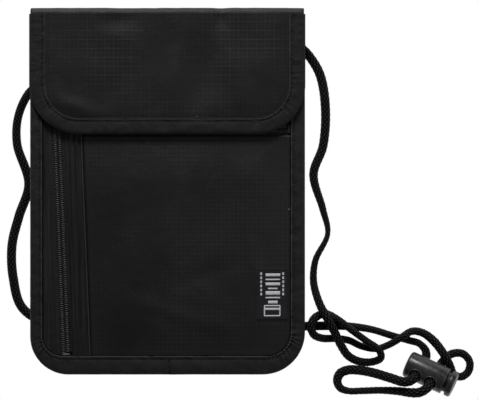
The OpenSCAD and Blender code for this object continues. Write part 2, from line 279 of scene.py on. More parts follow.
def tint(tree, shader, factor, dark, light):
    """The base colour goes from dark to light by the factor."""
    mix = add_node(tree, "ShaderNodeMix", {"Factor": factor}, data_type="RGBA")
    mix.inputs[6].default_value = (*dark, 1)
    mix.inputs[7].default_value = (*light, 1)
    tree.links.new(mix.outputs[2], shader.inputs["Base Color"])


def bump(tree, shader, height, depth):
    """Bumps of the given height, times a depth in millimetres."""
    out = add_node(tree, "ShaderNodeBump", {"Height": height, "Strength": 1.0, "Distance": depth * MM})
    tree.links.new(out.outputs["Normal"], shader.inputs["Normal"])


def woven(tree, x, y, pitch):
    """The ups and downs of a plain weave."""
    wave = 2 * math.pi / (pitch * MM)
    return times(tree, maths(tree, "SINE", times(tree, x, wave)), maths(tree, "SINE", times(tree, y, wave)))


def ripstop_material(name, pitch, strong, dark, light):
    """Fine cloth with a faint raised grid, seen in patches; strong picks out every second line."""
    material, tree, shader = new_material(name, dark, 0.5, sheen=0.08, specular=0.35)
    (x, y, _), place = position(tree)
    grid = plus(tree, ridges(tree, x, pitch, 0.2), ridges(tree, y, pitch, 0.2))
    coarse = plus(tree, ridges(tree, x, 2 * pitch, 0.12), ridges(tree, y, 2 * pitch, 0.12))
    lines = plus(tree, times(tree, grid, 0.5), times(tree, coarse, strong))
    patches = noise_at(tree, place, 26, 2)
    seen = add_node(tree, "ShaderNodeMapRange", {0: patches, 1: 0.42, 2: 0.62, 3: 0.12, 4: 1.0})
    lines = times(tree, lines, seen.outputs[0])
    soft = times(tree, maths(tree, "SUBTRACT", noise_at(tree, place, 40, 3), 0.3), 0.9)
    tint(tree, shader, plus(tree, times(tree, lines, 0.5), soft), dark, light)
    weave = woven(tree, x, y, 0.4)
    height = plus(tree, times(tree, lines, 0.4), times(tree, weave, 0.2))
    height = plus(tree, height, times(tree, noise_at(tree, place, 7, 3), 2.2))
    bump(tree, shader, height, 0.09)
    return material


def tape_material(name, dark, light, rib=0.8, depth=0.07, streaks=0.0):
    """Woven tape with fine ribs, a little fluff and, if asked, long streaks from its warp."""
    material, tree, shader = new_material(name, dark, 0.6, sheen=0.12, specular=0.3)
    (x, y, _), place = position(tree)
    ribs = woven(tree, x, y, rib)
    speckle = noise_at(tree, place, 0.9, 3)
    patches = noise_at(tree, place, 9, 2)
    long_way = add_node(tree, "ShaderNodeCombineXYZ", {0: x, 1: times(tree, y, 0.03)}).outputs[0]
    warp = times(tree, maths(tree, "SUBTRACT", noise_at(tree, long_way, 1.6, 3), 0.5), streaks)
    shade = times(tree, plus(tree, speckle, patches), 0.6)
    tint(tree, shader, plus(tree, shade, warp), dark, light)
    bump(tree, shader, plus(tree, ribs, times(tree, speckle, 1.4)), depth)
    return material


def yarn_material(name, dark, light, size=0.5, roughness=0.7, sheen=0.12):
    """Twisted yarn, for stitches, the braid and the light threads that paint the highlight along tape
    edges.
    """
    material, tree, shader = new_material(name, dark, roughness, sheen, 0.2)
    place = position(tree)[1]
    fibres = noise_at(tree, place, size, 4)
    patches = noise_at(tree, place, 12, 2)
    tint(tree, shader, times(tree, plus(tree, fibres, patches), 0.55), dark, light)
    bump(tree, shader, fibres, 0.08)
    return material


def braid_material(name, gap_shade, light):
    """Braided yarn: a painted highlight on the crown of each yarn and painted shade in the gaps between
    yarns.
    """
    material, tree, shader = new_material(name, gap_shade, 0.7, sheen=0.02, specular=0.08)
    crown = add_node(tree, "ShaderNodeAttribute", attribute_name="crown").outputs["Fac"]
    place = position(tree)[1]
    fibres = noise_at(tree, place, 0.4, 3)
    # The crown share sets the painted highlight, and the gaps keep the dark colour as painted shade.
    lit = add_node(tree, "ShaderNodeMapRange", {0: crown, 1: 0.5, 2: 0.95})
    shade = times(tree, lit.outputs[0], times(tree, fibres, 1.9))
    tint(tree, shader, shade, gap_shade, light)
    bump(tree, shader, fibres, 0.06)
    return material


def moulded_material(name, dark, light, roughness, metallic=0.0):
    """Moulded plastic or enamelled metal with a faint orange peel and worn, lighter patches."""
    material, tree, shader = new_material(name, dark, roughness, specular=0.5, metallic=metallic)
    place = position(tree)[1]
    wear = noise_at(tree, place, 2.5, 5)
    tint(tree, shader, wear, dark, light)
    bump(tree, shader, noise_at(tree, place, 0.5, 2), 0.02)
    rough = add_node(tree, "ShaderNodeMapRange",
                     {0: wear, 1: 0.3, 2: 0.7, 3: roughness - 0.1, 4: roughness + 0.12})
    tree.links.new(rough.outputs[0], shader.inputs["Roughness"])
    return material


ripstop = ripstop_material("ripstop", 2.3, 0.12, grey(0.006, 0.0005), grey(0.026, 0.002))
ripstop_flap = ripstop_material("ripstop_flap", 2.3, 0.5, grey(0.0045, 0.0005), grey(0.026, 0.002))
lining = ripstop_material("lining", 1.2, 0.0, grey(0.009, 0.001), grey(0.022, 0.002))
shield = ripstop_material("shield", 0.9, 0.0, grey(0.10, 0.005), grey(0.26, 0.01))
binding = tape_material("binding", grey(0.001), grey(0.016, 0.001))
flap_edging = tape_material("flap_edging", grey(0.0005), grey(0.012, 0.001))
zip_tape = tape_material("zip_tape", grey(0.001), grey(0.013, 0.001), 0.55, 0.05, streaks=3.6)
touch_tape = tape_material("touch_tape", grey(0.006), grey(0.02, 0.001), rib=0.9, depth=0.2)
# Light grey yarn laid along the tapes' inner edges: a painted highlight where each edge catches the light.
edge_highlight_yarn = yarn_material("edge_highlight_yarn", grey(0.02, 0.001), grey(0.07, 0.003))
stitch_yarn = yarn_material("stitch_yarn", grey(0.004), grey(0.016))
# Near-black yarn with no sheen: the dark join line where the body tape laps, and a painted shadow line
# beside the body tape.
join_and_shadow_yarn = yarn_material("join_and_shadow_yarn", grey(0.0005), grey(0.001), 0.5, 0.9, 0.0)
strip_tape = tape_material("strip_tape", grey(0.001), grey(0.012, 0.001), 0.7, 0.05, streaks=4.0)
tuft_yarn = yarn_material("tuft_yarn", grey(0.25), (0.5, 0.5, 0.48))
cord_yarn = braid_material("cord_yarn", grey(0.0005), grey(0.062, 0.002))
label_cloth = tape_material("label_cloth", grey(0.004, 0.003), grey(0.014, 0.006), rib=0.5, depth=0.06)
label_thread = yarn_material("label_thread", grey(0.85, 0.01), grey(1.0), size=0.4)
coil_nylon = moulded_material("coil_nylon", grey(0.04, 0.001), grey(0.09, 0.003), 0.34)
enamel = moulded_material("enamel", grey(0.012, 0.001), grey(0.04, 0.002), 0.3, 0.3)
lock_nylon = moulded_material("lock_nylon", grey(0.016, 0.001), grey(0.046, 0.002), 0.3)
# Near-black plastic for the plunger's neck where it shows in the gap before the button: painted shade.
lock_painted_shade = moulded_material("lock_painted_shade", grey(0.004), grey(0.01), 0.5)
spring_steel = moulded_material("spring_steel", grey(0.3, 0.01), grey(0.6), 0.28, 1.0)


# ---------------------------------------------------------------- neck cord
def flattened(rings, line):
    """The cord's rings of points, drawn in sideways where the braid stands on edge."""
    across = np.cross(np.gradient(line, axis=0), (0, 0, 1.0))
    across /= np.linalg.norm(across, axis=1)[:, None]
    route = along_of(np.array(CORD_ROUTE, float))
    places, shares = zip(*CORD_WIDTHS)
    share = np.interp(np.linspace(0, 1, len(line)), route[list(places)] / route[-1], shares)[:, None]
    sideways = np.einsum("ijk,ik->ij", rings - line[:, None], across)
    return rings - ((1 - share) * sideways)[..., None] * across[:, None]


def make_cord():
    """The cord is a fine braid: yarns wind both ways round it and pass over and under each other."""
    carriers = 8
    braid_pitch = 2.7
    yarn_rise = 0.36
    sides = 40
    step = 0.32
    line = smooth_line(CORD_ROUTE, step)
    line[:, 2] = np.maximum(line[:, 2], CORD_D / 2)
    along = np.arange(len(line))[:, None] * step
    turn = turns(sides)[None, :]
    one = carriers * turn + 2 * math.pi * along / braid_pitch
    two = carriers * turn - 2 * math.pi * along / braid_pitch
    crown = np.maximum(np.cos(one), np.cos(two)) * 0.5 + 0.5
    weave = crown * (0.75 + 0.25 * np.cos(one) * np.cos(two))
    points, faces = tube(line, CORD_D / 2 - 0.2 + yarn_rise * weave, sides)
    rings = flattened(points.reshape(len(line), sides, 3), line)
    piece = make_mesh("braided_cord", rings.reshape(-1, 3), faces, cord_yarn, "pouch", "cord",
                      "neck_cord")
    # The crown share is kept on the mesh for the braid's painted highlight and painted shade.
    layer = piece.data.attributes.new("crown", "FLOAT", "POINT")
    layer.data.foreach_set("value", weave.ravel())
    return piece, line


cord_piece, cord_line = make_cord()

# ---------------------------------------------------------------- outlines and cloth
body_low, body_high = node_box("body_binding")
HALF_W, BOTTOM = body_high[0], body_low[1]
TOP = node_box("flap_panel")[1][1]
FLAP_EDGE = node_box("flap_binding")[0][1]
FOLD_LOW, FOLD_HIGH = (corner[2] for corner in node_box("flap_fold"))
FOLD_R = (FOLD_HIGH - FOLD_LOW) / 2
HINGE_Y, HINGE_Z = node_box("flap_fold")[0][1], FOLD_LOW + FOLD_R
CORNER_LEFT, CORNER_RIGHT, FLAP_CORNER = 20, 22, 26
BIND_LEFT, BIND_RIGHT, BIND_BOTTOM, FLAP_BIND = 6, 7, 9.5, 8
PAST_TOP = 92
PAST_FOLD = 100

# Heights of the layers' faces
LINER_Z = 0.85
DIVIDER_Z = 6.68
ZIP_TAPE_Z = 8.2
STRIP_Z = 8.55
FRONT_Z = 8.72
UPPER_FRONT_Z = 8.8
# Height of the painted shadow line beside the body tape
SHADOW_LINE_Z = 8.85
FLAP_LINING_Z = 11.05


def smoothstep(low, high, value):
    """0 at low and 1 at high, with a soft start and end."""
    t = np.clip((np.asarray(value, float) - low) / (high - low), 0, 1)
    return t * t * (3 - 2 * t)


def hump(x, width):
    """1 at 0, falling off to each side."""
    return np.exp(-((np.asarray(x, float) / width) ** 2))


def waves(x, y, size, seed, octaves=3):
    """Soft noise from about -0.5 to 0.5, the same on every run; size may be a pair of lengths."""
    sx, sy = size if isinstance(size, tuple) else (size, size)
    x, y = np.broadcast_arrays(np.asarray(x, float), np.asarray(y, float))
    pairs = zip(x.ravel(), y.ravel())
    flat = [noise.fractal((a / sx, b / sy, seed), 1.0, 2.0, octaves) for a, b in pairs]
    return np.array(flat).reshape(x.shape) * 0.6


def u_line(left, right, bottom, top, r_left, r_right):
    """Down the left side, round the bottom and up the right side, always with as many points."""
    up, flat, bend = 150, 110, 40
    arc = np.radians(np.linspace(0, 90, bend, endpoint=False))
    rise, reach = np.sin(arc), np.cos(arc)
    left_y = np.linspace(top, bottom + r_left, up, endpoint=False)
    right_y = np.linspace(bottom + r_right, top, up)
    flat_x = np.linspace(left + r_left, right - r_right, flat, endpoint=False)
    return np.vstack([
        np.column_stack([np.full(up, left), left_y]),
        np.column_stack([left + r_left - r_left * reach, bottom + r_left - r_left * rise]),
        np.column_stack([flat_x, np.full(flat, bottom)]),
        np.column_stack([right - r_right + r_right * rise, bottom + r_right - r_right * reach]),
        np.column_stack([np.full(up, right), right_y])])


def body_line(left=0.0, right=0.0, bottom=0.0, top=HINGE_Y - 4):
    """The pouch's outline, inset by so much at its left, right and bottom."""
    r_left, r_right = CORNER_LEFT - bottom, CORNER_RIGHT - bottom
    return u_line(-HALF_W + left, HALF_W - right, BOTTOM + bottom, top, r_left, r_right)


def flap_line(inset=0.0, top=TOP):
    """The flap's outline, inset by so much."""
    r = FLAP_CORNER - inset
    return u_line(-HALF_W + inset, HALF_W - inset, FLAP_EDGE + inset, top, r, r)


def side_limits(line):
    """Functions of y that give the left and right x of a U-shaped line."""
    half = len(line) // 2
    left, right = line[:half][::-1], line[half:]
    return (lambda y: np.interp(y, left[:, 1], left[:, 0]),
            lambda y: np.interp(y, right[:, 1], right[:, 0]))


def shell(top, under):
    """A closed skin from two grids of points."""
    rows, cols = top.shape[:2]
    points = np.vstack([top.reshape(-1, 3), under.reshape(-1, 3)])
    faces = strip_faces(rows, cols, False)
    n = rows * cols
    ids = np.arange(n).reshape(rows, cols)
    rim = np.concatenate([ids[0], ids[1:, -1], ids[-1, -2::-1], ids[-2:0:-1, 0]])
    walls = [[a, a + n, b + n, b] for a, b in zip(rim, np.roll(rim, -1))]
    return points, faces.tolist() + (faces[:, ::-1] + n).tolist() + walls


def cloth(name, limits, y_range, height, thickness, material, body, slot, node, place=None, step=1.1):
    """A sheet between two edges given as functions of y, at height(x, y), thickened downwards.
    """
    left, right = limits
    y = np.linspace(*y_range, int((y_range[1] - y_range[0]) / step) + 2)
    width = float(np.max(right(y) - left(y)))
    across = np.linspace(0, 1, int(width / step) + 2)
    xs = left(y)[:, None] * (1 - across) + right(y)[:, None] * across
    ys = np.repeat(y[:, None], len(across), 1)
    if place:
        xs, ys = place(xs, ys)
    z = height(xs, ys)
    top = np.stack([xs, ys, z], -1)
    under = np.stack([xs, ys, z - thickness], -1)
    piece = make_mesh(name, *shell(top, under), material, body, slot, node)
    widths, length = right(y) - left(y), y_range[1] - y_range[0]


def steady(value):
    """A straight edge for cloth()."""
    return lambda y: np.full_like(np.asarray(y, float), value)


def folded_tape(name, outer, inner, z_low, z_high, material, body, slot, ripple, node):
    """Tape folded over an edge: a top leaf, a round edge and a bottom leaf, with its own thickness."""
    t = 0.5
    middle = (z_low + z_high) / 2
    leaf = [1.0, 0.985, 0.95, 0.9, 0.86, 0.83, 0.79, 0.7, 0.5, 0.35, 0.22, 0.12, 0.05, 0.015]
    crown = [-0.35, -0.06, 0.06, -0.05, -0.24, -0.24, -0.02, 0.1, 0.14, 0.1, 0.02, -0.16, -0.45, -0.9]
    top = [(f, z_high + c) for f, c in zip(leaf, crown)]
    low = [(f, z_low - c * 0.4) for f, c in zip(leaf, crown)][::-1]
    inside = [(1.0, z_low + t), (0.5, z_low + t), (0.1, z_low + t),
              (0.1, z_high - t), (0.5, z_high - t), (1.0, z_high - t)]
    profile = np.array(top + [(0.0, middle)] + low + inside)
    f, z = profile[:, 0][None, :, None], profile[:, 1][None, :]
    flat = outer[:, None] + f * (inner - outer)[:, None]
    upper = (profile[:, 1] > middle)[None, :]
    rise = ripple(flat[..., 0], flat[..., 1], along_of(outer)[:, None], f[..., 0])
    z = np.broadcast_to(z, flat.shape[:2]) + np.where(upper, rise, 0)
    points = np.concatenate([flat, z[..., None]], -1).reshape(-1, 3)
    make_mesh(name, points, solid_faces(len(outer), len(profile)), material, body, slot, node)


def stitches(name, line, heights, body, slot, pitch=2.6, length=1.8, radius=0.2):
    """Thread stitches along a line, each a small arched tube that dips into the cloth at its ends."""
    step = 0.3
    path = resample(np.column_stack([line, heights]), step)
    per, reach = int(pitch / step), int(length / step)
    parts = []
    for start in range(0, len(path) - reach - 1, per):
        run = path[start:start + reach + 1:2].copy()
        arch = np.sin(np.linspace(0, math.pi, len(run)))
        run[:, 2] += -0.12 + 0.22 * arch
        parts.append(tube(run, (radius * (0.55 + 0.45 * arch))[:, None], 6))
    make_mesh(name, *joined(parts), stitch_yarn, body, slot)


def yarn_line(name, line, heights, radius, material, body, slot):
    """A thread laid along a line, such as the painted highlight along a tape's edge."""
    path = resample(np.column_stack([line, heights]), 0.6)
    lumps = 1 + 0.25 * waves(path[:, 0], path[:, 1], 1.2, 7)
    make_mesh(name, *tube(path, (radius * lumps)[:, None], 6), material, body, slot)


# ---------------------------------------------------------------- zips
ZIP_SLANT = math.radians(2.3)
SIDE_ZIP = (-55.6, -12)
TOP_ZIP = (10.2, 32.5)
SIDE_LEN = 144
TOP_LEN = 104.4
COIL_PITCH = 1.1
COIL_TOP = 8.8
FRONT_EDGE = 13.4


def in_side_zip(u, v):
    """A point u across the side zip and v up it, from the zip's middle."""
    return (SIDE_ZIP[0] + u * math.cos(ZIP_SLANT) - v * math.sin(ZIP_SLANT),
            SIDE_ZIP[1] + u * math.sin(ZIP_SLANT) + v * math.cos(ZIP_SLANT))


def in_top_zip(u, v):
    """A point u across the top zip and v along it to the left, from the zip's middle."""
    return TOP_ZIP[0] - v, TOP_ZIP[1] + u


def across_side_zip(x, y):
    """How far a point lies to the right of the side zip's middle line."""
    return (x - SIDE_ZIP[0]) * math.cos(ZIP_SLANT) + (y - SIDE_ZIP[1]) * math.sin(ZIP_SLANT)


def beside_side_zip(y, offset):
    """The x of a line beside the side zip."""
    return SIDE_ZIP[0] - (np.asarray(y, float) - SIDE_ZIP[1]) * math.tan(ZIP_SLANT) + offset


def coil(name, side, length, place, node):
    """One row of coil teeth: rounded loops of nylon, leaning a little along the zip."""
    sides, rings = 8, 5
    polar = np.linspace(0.12, math.pi - 0.12, rings)
    round_ = turns(sides)
    ball_u = 1.04 * np.cos(polar)[:, None] * np.ones(sides)
    ball_v = 0.34 * np.sin(polar)[:, None] ** 0.35 * np.cos(round_) + 0.12 * ball_u * side
    ball_z = 0.6 * np.sin(polar)[:, None] ** 0.5 * np.sin(round_)
    faces = solid_faces(rings, sides)
    first = -length / 2 + 0.6 + (side > 0) * COIL_PITCH / 2
    parts = []
    for v in np.arange(first, length / 2 - 0.4, COIL_PITCH):
        x, y = place(side * 1.15 + ball_u, v + ball_v)
        parts.append((np.column_stack([x.ravel(), y.ravel(), COIL_TOP - 0.6 + ball_z.ravel()]), faces))
    make_mesh(name, *joined(parts), coil_nylon, "pouch", "zip_coil", node)


def tape_height(x, y):
    return ZIP_TAPE_Z + 0.12 * waves(x, y, 5, 3)


def chain_stitches(prefix, side, length, place):
    """The thread that holds a coil down on its tape."""
    v = np.linspace(-length / 2 + 1, length / 2 - 1, 300)
    for number, u, z in ((1, 1.85, 8.62), (2, 2.6, 8.3)):
        x, y = place(np.full(300, u * side), v)
        stitches(f"{prefix}_{number}", np.column_stack([x, y]), np.full(300, z), "pouch", "zip_tape",
                 pitch=2.2, length=1.6, radius=0.16)


def zip_row(prefix, side, label, length, place):
    """One side of a zip: its coil and the coil's thread."""
    coil(f"{prefix}_teeth_{label}", side, length, place, f"{prefix}_coil_{label}")
    chain_stitches(f"{prefix}_chain_{label}", side, length, place)


def zip_side(prefix, side, label, length, place):
    """A zip's tape, its coil and its stitching."""
    near, far = 2.0 * side, 7.1 * side
    limits = (steady(min(near, far)), steady(max(near, far)))
    cloth(f"{prefix}_tape_cloth_{label}", limits, (-length / 2, length / 2), tape_height, 0.3,
          zip_tape, "pouch", "zip_tape", f"{prefix}_tape_{label}", place, 0.9)
    zip_row(prefix, side, label, length, place)


def left_tape():
    """The side zip's left tape, from the coil to the side binding, with pressed folds along it."""
    edge = side_limits(body_line(2.1, 2.1, 2.1, PAST_TOP))[0]

    def coil_side(y):
        return beside_side_zip(y, -2.0)

    def height(x, y):
        u = coil_side(y) - x
        folds = 0.22 * hump(u - 2.6, 0.5) + 0.3 * hump(u - 4.6, 0.8) - 0.2 * hump(u - 3.6, 0.5)
        return tape_height(x, y) + folds + 0.25 * waves(x, y, (3, 20), 17)

    cloth("side_zip_tape_cloth_left", (lambda y: np.minimum(edge(y), coil_side(y) - 1), coil_side),
          (-84.8, 59.8), height, 0.3, zip_tape, "pouch", "zip_tape", "side_zip_tape_left", None, 0.6)
    zip_row("side_zip", -1, "left", SIDE_LEN, in_side_zip)


left_tape()
zip_side("side_zip", 1, "right", SIDE_LEN, in_side_zip)
zip_side("top_zip", 1, "upper", TOP_LEN, in_top_zip)
zip_side("top_zip", -1, "lower", TOP_LEN, in_top_zip)


# ---------------------------------------------------------------- pouch cloth
def strip_height(x, y):
    """The strip beside the side zip: a folded edge, two soft ridges and a sewn edge."""
    u = across_side_zip(x, y)
    ridge = 0.5 * hump(u - 4.6, 0.5) + 0.75 * hump(u - 6.6, 0.8) + 0.75 * hump(u - 9.6, 0.8)
    return STRIP_Z + ridge + 0.35 * hump(u - 12.6, 0.45) + 0.2 * waves(x, y, (3, 18), 11)


def front_height(x, y):
    """The front panel: flat at its seams, padded in the middle, with long soft wrinkles."""
    u = across_side_zip(x, y)
    inset = smoothstep(0, 26, u - FRONT_EDGE) * smoothstep(0, 22, 65 - x)
    inset = inset * smoothstep(0, 20, y + 86) * smoothstep(0, 24, 29 - y)
    folds = 0.55 * hump(x - 8 - 0.25 * y, 5) * hump(y + 15, 30)
    folds = folds + 0.45 * hump(x - 38 + 0.2 * y, 4) * hump(y + 40, 26)
    folds = folds + 0.5 * hump(y + 62 + 0.3 * x, 4) * hump(x - 5, 26)
    folds = folds - 0.4 * hump(y + 50 - 0.35 * x, 5) * hump(x - 20, 24)
    soft = 1.5 * waves(x, y, (26, 38), 2.5, 2)
    seam = 0.25 * hump(u - 14.2, 0.5) * smoothstep(28.5, 26, y)
    return FRONT_Z + seam + inset * (1.0 + folds + soft) + 0.1 * waves(x, y, 4, 8)


def tray_height(x, y):
    """The back: on the surface in its middle, and raised towards its rim."""
    half_w, low, high = 54, -40, 64
    dx = np.maximum(np.abs(x) - half_w, 0) / 9
    dy = np.where(y < low, (low - y) / 16, np.maximum(y - high, 0) / 20)
    return 0.5 + 5.6 * smoothstep(0, 1, np.hypot(dx, dy))


body_in = side_limits(body_line(1.5, 1.5, 1.5, PAST_TOP))
front_limits = (lambda y: np.maximum(beside_side_zip(y, FRONT_EDGE), body_in[0](y)), body_in[1])
cloth("front_cloth", front_limits, (BOTTOM + 1.6, 29.1), front_height, 0.45,
      ripstop, "pouch", "ripstop", "front_panel")
cloth("upper_front_cloth", (steady(-44.4), steady(69.8)), (35.9, 66),
      lambda x, y: UPPER_FRONT_Z + 0.12 * waves(x, y, 9, 4), 0.45,
      ripstop, "pouch", "ripstop", "upper_front_panel")
cloth("zip_strip_cloth", (steady(3.4), steady(13.0)), (-76, 73), strip_height, 0.5,
      strip_tape, "pouch", "ripstop", "zip_side_strip", in_side_zip, 0.45)
cloth("back_cloth", side_limits(body_line(1, 1, 1, PAST_TOP)), (BOTTOM + 1.1, 91.5), tray_height, 0.5,
      ripstop, "pouch", "ripstop", "back_panel")
cloth("divider_cloth", side_limits(body_line(5, 5, 6, PAST_TOP)), (BOTTOM + 6.1, 66),
      lambda x, y: DIVIDER_Z + 0.08 * waves(x, y, 16, 6), 0.35,
      lining, "pouch", "lining", "pocket_divider")
cloth("shield_cloth", (steady(-51.5), steady(51.5)), (-37.5, 61.5),
      lambda x, y: LINER_Z + 0.12 * np.abs(waves(x, y, 6, 9)), 0.28,
      shield, "pouch", "shield", "shielding_lining")


def mouth_tape():
    """Tape over the top edge of the front panels, open towards the back."""
    low, high = node_box("mouth_binding")
    rows = 180
    x = np.linspace(low[0], high[0], rows)
    profile = np.array([(61.0, 8.95), (61.05, 9.2), (61.6, 9.33), (64, 9.3), (65.9, 9.3),
                        (66.4, 9.1), (66.5, 8.6), (66.5, 6.4), (66.05, 6.35), (66.05, 8.9)])
    ripple = 0.05 * np.sin(x / 1.3)[:, None] * (profile[:, 1] > 9)[None, :]
    ys = np.broadcast_to(profile[:, 0], (rows, len(profile)))
    points = np.stack([np.broadcast_to(x[:, None], ys.shape), ys, profile[:, 1] + ripple], -1)
    faces = solid_faces(rows, len(profile))
    make_mesh("mouth_tape", points.reshape(-1, 3), faces, binding, "pouch", "binding", "mouth_binding")


mouth_tape()
# A light thread along the strip's sewn edge: a painted highlight on the lit edge.
strip_v = np.linspace(-74, 71, 300)
strip_x, strip_y = in_side_zip(np.full(300, 12.5), strip_v)
yarn_line("strip_edge", np.column_stack([strip_x, strip_y]), strip_height(strip_x, strip_y) + 0.02,
          0.2, edge_highlight_yarn, "pouch", "ripstop")

# ---------------------------------------------------------------- bindings and seams
BODY_TAPE_TOP = body_high[2]
FLAP_TAPE_LOW, FLAP_TAPE_TOP = (corner[2] for corner in node_box("flap_binding"))


def puckers(x, y, along, f, corners, pitch, seed):
    """Uneven gathers where the tape is turned round a corner."""
    gathers = np.sin(2 * math.pi * along / pitch + 7 * waves(x, y, 7, seed))
    return corners * gathers * (0.2 + 0.8 * f) * (0.45 + 1.6 * np.abs(waves(x, y, 5, seed + 1)))


def body_ripple(x, y, along, f):
    """Rise of the body's tape: gathered corners, a lapped join, and flat where the pull passes."""
    corners = 0.5 * hump(np.hypot(x + 58, y + 82), 16) + 0.75 * hump(np.hypot(x - 60, y + 80), 19)
    lap = 0.5 * smoothstep(1.2, 1.6, x) * smoothstep(14, 3, x) * (y < -80)
    uneven = 0.9 * waves(x, y, 6, 12, 2) * (0.4 + f) + 0.4 * waves(x, y, 2.6, 13, 2)
    room = 0.1 + 2 * smoothstep(6, 10, np.abs(x + 52.5))
    return np.minimum(puckers(x, y, along, f, corners, 3.1, 14) + lap + uneven, room)


def flap_ripple(x, y, along, f):
    """Rise of the flap's tape, gathered at its two corners."""
    corners = 0.45 * hump(np.hypot(x + 57, y - 43), 11) + 0.6 * hump(np.hypot(x - 60, y - 43), 12)
    uneven = 0.7 * waves(x, y, 6, 22, 2) * (0.4 + f) + 0.32 * waves(x, y, 2.6, 23, 2)
    return puckers(x, y, along, f, corners, 2.9, 24) + uneven


body_outer, body_inner = body_line(), body_line(BIND_LEFT, BIND_RIGHT, BIND_BOTTOM)
flap_outer, flap_inner = flap_line(), flap_line(FLAP_BIND)
folded_tape("body_tape", body_outer, body_inner, body_low[2], BODY_TAPE_TOP, binding,
            "pouch", "binding", body_ripple, "body_binding")
folded_tape("flap_tape", flap_outer, flap_inner, FLAP_TAPE_LOW, FLAP_TAPE_TOP, flap_edging,
            "flap", "binding", flap_ripple, "flap_binding")


def on_tape(outer, inner, share, top, ripple):
    """A line on a tape, a share of the way from its outer edge to its inner one, and its heights."""
    line = outer + share * (inner - outer)
    return line, top + ripple(line[:, 0], line[:, 1], along_of(outer), share)


STITCH_SHARE = 0.84
body_sew = on_tape(body_outer, body_inner, STITCH_SHARE, BODY_TAPE_TOP - 0.2, body_ripple)
flap_sew = on_tape(flap_outer, flap_inner, STITCH_SHARE, FLAP_TAPE_TOP - 0.2, flap_ripple)
body_edge = on_tape(body_outer, body_inner, 1.0, BODY_TAPE_TOP - 0.3, body_ripple)
flap_edge = on_tape(flap_outer, flap_inner, 1.0, FLAP_TAPE_TOP - 0.12, flap_ripple)
stitches("body_topstitch", *body_sew, "pouch", "binding")
stitches("flap_topstitch", *flap_sew, "flap", "binding")
# A light thread on the body tape's inner edge: a painted highlight.
yarn_line("body_tape_edge", *body_edge, 0.38, edge_highlight_yarn, "pouch", "binding")
join_y = np.linspace(BOTTOM + 0.3, BOTTOM + BIND_BOTTOM - 0.2, 40)
join_x = 1.3 + 0.35 * np.sin(join_y * 2.1)
join_z = BODY_TAPE_TOP + 0.12 * waves(join_x, join_y, 3, 19)
yarn_line("tape_join", np.column_stack([join_x, join_y]), join_z, 0.26, join_and_shadow_yarn, "pouch", "binding")
# A near-black thread just inside the body tape's inner edge: a painted shadow line for the groove between
# tape and cloth.
body_shadow_line = body_line(BIND_LEFT + 0.6, BIND_RIGHT + 0.6, BIND_BOTTOM + 0.6)
yarn_line("body_tape_seam", body_shadow_line, np.full(len(body_shadow_line), SHADOW_LINE_Z), 0.32, join_and_shadow_yarn,
          "pouch", "binding")
# A light thread on the flap tape's inner edge: a painted highlight.
yarn_line("flap_tape_edge", *flap_edge, 0.24, edge_highlight_yarn, "flap", "binding")


# ---------------------------------------------------------------- flap
def flap_wrinkles(x, y):
    """Rise of the flap's cloth: dents by the fold and broad, mostly upright, soft folds."""
    dents = -0.9 * hump(x + 26, 9) * hump(y - 88, 5) - 0.8 * hump(x - 27.5, 4) * hump(y - 89, 6)
    folds = 0.8 * hump(x + 4 - 0.15 * y, 5) * hump(y - 62, 20)
    folds = folds + 0.9 * hump(x - 36 + 0.2 * (y - 60), 6) * hump(y - 60, 16)
    folds = folds - 0.7 * hump(x - 17, 7) * hump(y - 62, 15)
    folds = folds + 0.8 * hump(y - 46 + 0.4 * (x + 55), 5) * hump(x + 48, 15)
    folds = folds - 0.6 * hump(x + 38, 12) * hump(y - 72, 9) + 0.5 * hump(x - 52, 5) * hump(y - 70, 14)
    edge = smoothstep(FLAP_EDGE + 2, FLAP_EDGE + 16, y) * smoothstep(-HALF_W + 3, -HALF_W + 16, x)
    edge = edge * smoothstep(HALF_W - 3, HALF_W - 16, x)
    broad = 0.9 * waves(x, y, (20, 30), 31, 2)
    return edge * (0.35 + folds + broad) + dents * smoothstep(70, 84, y) + 0.06 * waves(x, y, 5, 33)


def make_flap():
    """The flap's cloth and the fold over the top, in one sheet."""
    flat, bend, tail, cols = 62, 26, 5, 130
    limits = side_limits(flap_line(0.7, PAST_FOLD))
    turn = np.radians(np.linspace(90, -90, bend))
    y = np.concatenate([np.linspace(FLAP_EDGE + 0.7, HINGE_Y, flat, endpoint=False),
                        HINGE_Y + FOLD_R * np.cos(turn),
                        np.linspace(HINGE_Y - 0.4, HINGE_Y - 4, tail)])
    z = np.concatenate([np.full(flat, FOLD_HIGH), HINGE_Z + FOLD_R * np.sin(turn),
                        np.full(tail, FOLD_LOW - 0.02)])
    inward_y = np.concatenate([np.zeros(flat), -np.cos(turn), np.zeros(tail)])
    inward_z = np.concatenate([np.full(flat, -1.0), -np.sin(turn), np.full(tail, 1.0)])
    across = np.linspace(0, 1, cols)
    span_y = np.minimum(y, HINGE_Y)
    xs = limits[0](span_y)[:, None] * (1 - across) + limits[1](span_y)[:, None] * across
    rise = np.maximum(flap_wrinkles(xs, span_y[:, None]), -0.45)
    fade = np.concatenate([np.ones(flat), np.cos(turn / 2 - math.pi / 4) ** 4, np.zeros(tail)])
    round_fold = np.concatenate([np.full(flat, 0.0), np.linspace(0, 9, bend), np.full(tail, 9.0)])
    puff = rise * fade[:, None] + 0.16 * waves(xs, round_fold[:, None], (7, 3), 35)
    inward = np.stack([0 * xs, inward_y[:, None] + 0 * xs, inward_z[:, None] + 0 * xs], -1)
    middle = np.stack([xs, y[:, None] + 0 * xs, z[:, None] + 0 * xs], -1)
    top = middle - puff[..., None] * inward
    under = top + 0.55 * inward
    piece = make_mesh("flap_cloth", *shell(top, under), ripstop_flap, None, "ripstop")
    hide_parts("flap_panel", "flap_fold")
    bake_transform(piece)


